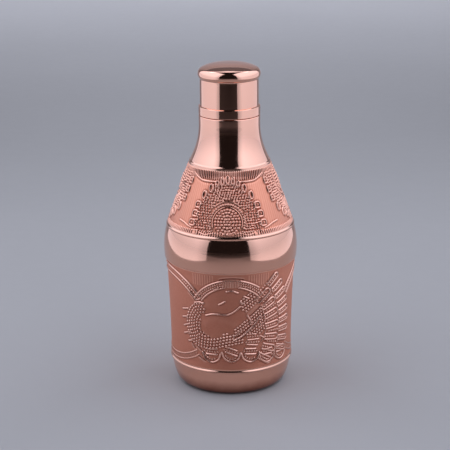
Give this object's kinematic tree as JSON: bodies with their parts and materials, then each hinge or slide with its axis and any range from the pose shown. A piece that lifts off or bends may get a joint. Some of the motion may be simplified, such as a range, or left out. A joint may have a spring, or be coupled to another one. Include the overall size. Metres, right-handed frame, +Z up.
{
  "type": "copper water bottle",
  "caption": "Round embossed copper water bottle with a polished band at its shoulder, a flared neck and a domed screw cap.",
  "frame": {"origin": "centre of the underside, on the surface that the bottle stands on", "axes": "+Z up along the bottle's axis; -Y towards the front, where one fan of the shoulder's relief faces"},
  "size_m": [0.0988, 0.0986, 0.241],
  "materials": {
    "embossed_copper": "satin",
    "polished_copper": "polished",
    "turned_copper": "satin",
    "filler_metal": "rough",
    "seal_silicone": "matt"
  },
  "bodies": {
    "bottle": {"lower_shell": "embossed_copper", "upper_shell": "polished_copper", "seam_braze": "filler_metal", "neck_collar": "turned_copper", "neck_braze": "filler_metal"},
    "washer": {"seal_washer": "seal_silicone"},
    "cap": {"cap_shell": "polished_copper", "rim_band": "polished_copper", "thread_ring": "turned_copper", "backing_disc": "turned_copper", "cap_solder": "filler_metal"}
  },
  "joints": [
    {"name": "cap_lift", "type": "slide", "parent": "bottle", "child": "washer", "axis": [0, 0, 1], "range_m": [0, 0.036]},
    {"name": "cap_turn", "type": "hinge", "parent": "washer", "child": "cap", "pos_m": [0, 0, 0.2035], "axis": [0, 0, 1], "range_deg": [0, 2160]}
  ],
  "couplings": [
    {"joint": "cap_lift", "follows": "cap_turn", "m_per_rad": 0.00095493}
  ]
}
